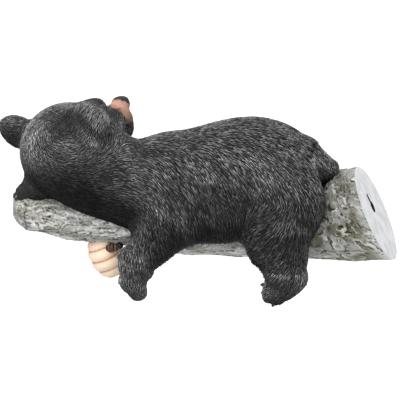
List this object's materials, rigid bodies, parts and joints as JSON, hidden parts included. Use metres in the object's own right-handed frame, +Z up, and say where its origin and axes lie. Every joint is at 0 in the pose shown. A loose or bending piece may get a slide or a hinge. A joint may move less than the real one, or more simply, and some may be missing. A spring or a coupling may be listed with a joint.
{
  "type": "hanging bear cub figurine",
  "caption": "Painted cast-resin bear cub lying along a bark branch with a small coiled hive below, hung on a wall by a keyhole in the branch's flat sawn end.",
  "frame": {"origin": "middle of the branch's flat sawn end, just below its keyhole", "axes": "+X out of the sawn end, towards the wall it hangs on; +Z up, with the keyhole's narrow slot uppermost; the bear's dangling near arm is on the -Y side"},
  "size_m": [0.3282, 0.1376, 0.2901],
  "materials": {
    "fur": "charcoal paint with grey dry-brushed strands on cast resin",
    "bark": "grey and white bark paint with olive lichen on cast resin",
    "hive": "straw-coloured paint with brown wash on cast resin"
  },
  "bodies": {
    "root": {"branch": "bark", "bear_cub": "fur", "beehive": "hive"}
  },
  "joints": []
}
